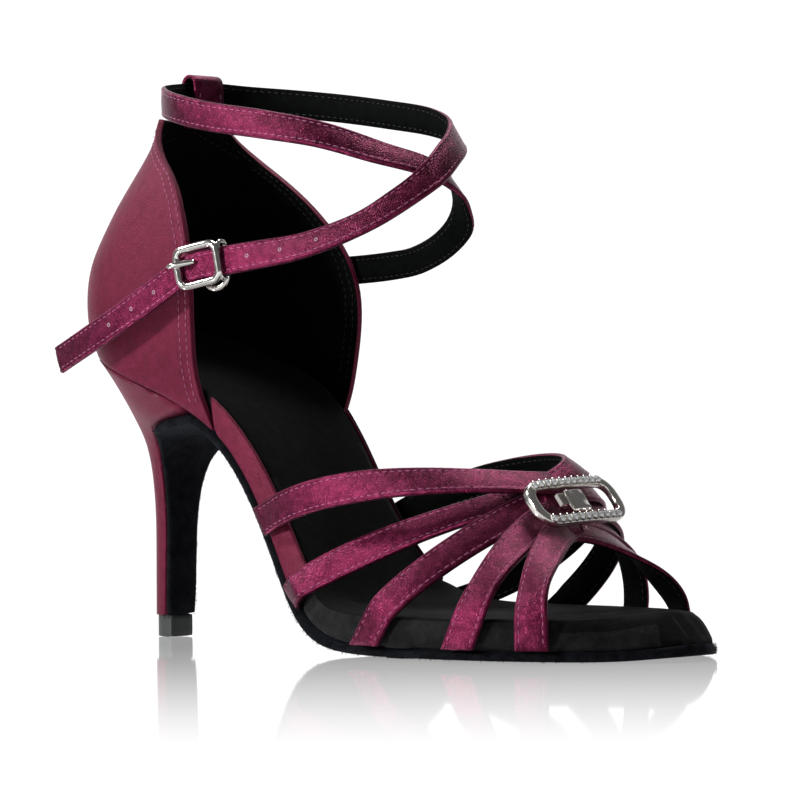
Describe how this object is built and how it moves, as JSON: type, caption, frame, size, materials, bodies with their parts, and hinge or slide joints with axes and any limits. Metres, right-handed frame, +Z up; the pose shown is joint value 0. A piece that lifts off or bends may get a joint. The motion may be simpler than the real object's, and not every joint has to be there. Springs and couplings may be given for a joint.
{
  "type": "ballroom dance shoe",
  "caption": "A right-foot Latin dance sandal with a slim high heel, crossing straps over an open toe, a high heel counter and a long buckled ankle strap.",
  "frame": {"origin": "centre of the heel top piece's ground face, on the floor", "axes": "+X from the heel towards the toe, +Y towards the inner side of the foot, +Z up"},
  "size_m": [0.2139, 0.0829, 0.1626],
  "materials": {
    "satin": "wine satin with a soft sheen",
    "black_suede": "black suede",
    "outsole_suede": "brushed suede with a raised nap",
    "black_plastic": "moulded",
    "nickel": "polished nickel plate",
    "silver": "polished silver plate"
  },
  "bodies": {
    "root": {"outsole": "outsole_suede", "footbed": "black_suede", "arch_rand_lateral": "satin", "arch_rand_medial": "satin", "heel": "satin", "top_piece": "black_plastic", "quarter": "satin", "vamp_straps": "satin", "ankle_strap": "satin", "back_loop": "satin", "buckle_frame": "nickel", "buckle_prong": "nickel", "buckle_keeper": "nickel", "buckle_hook": "nickel", "ornament_ring": "silver", "ornament_plate": "silver"}
  },
  "joints": []
}
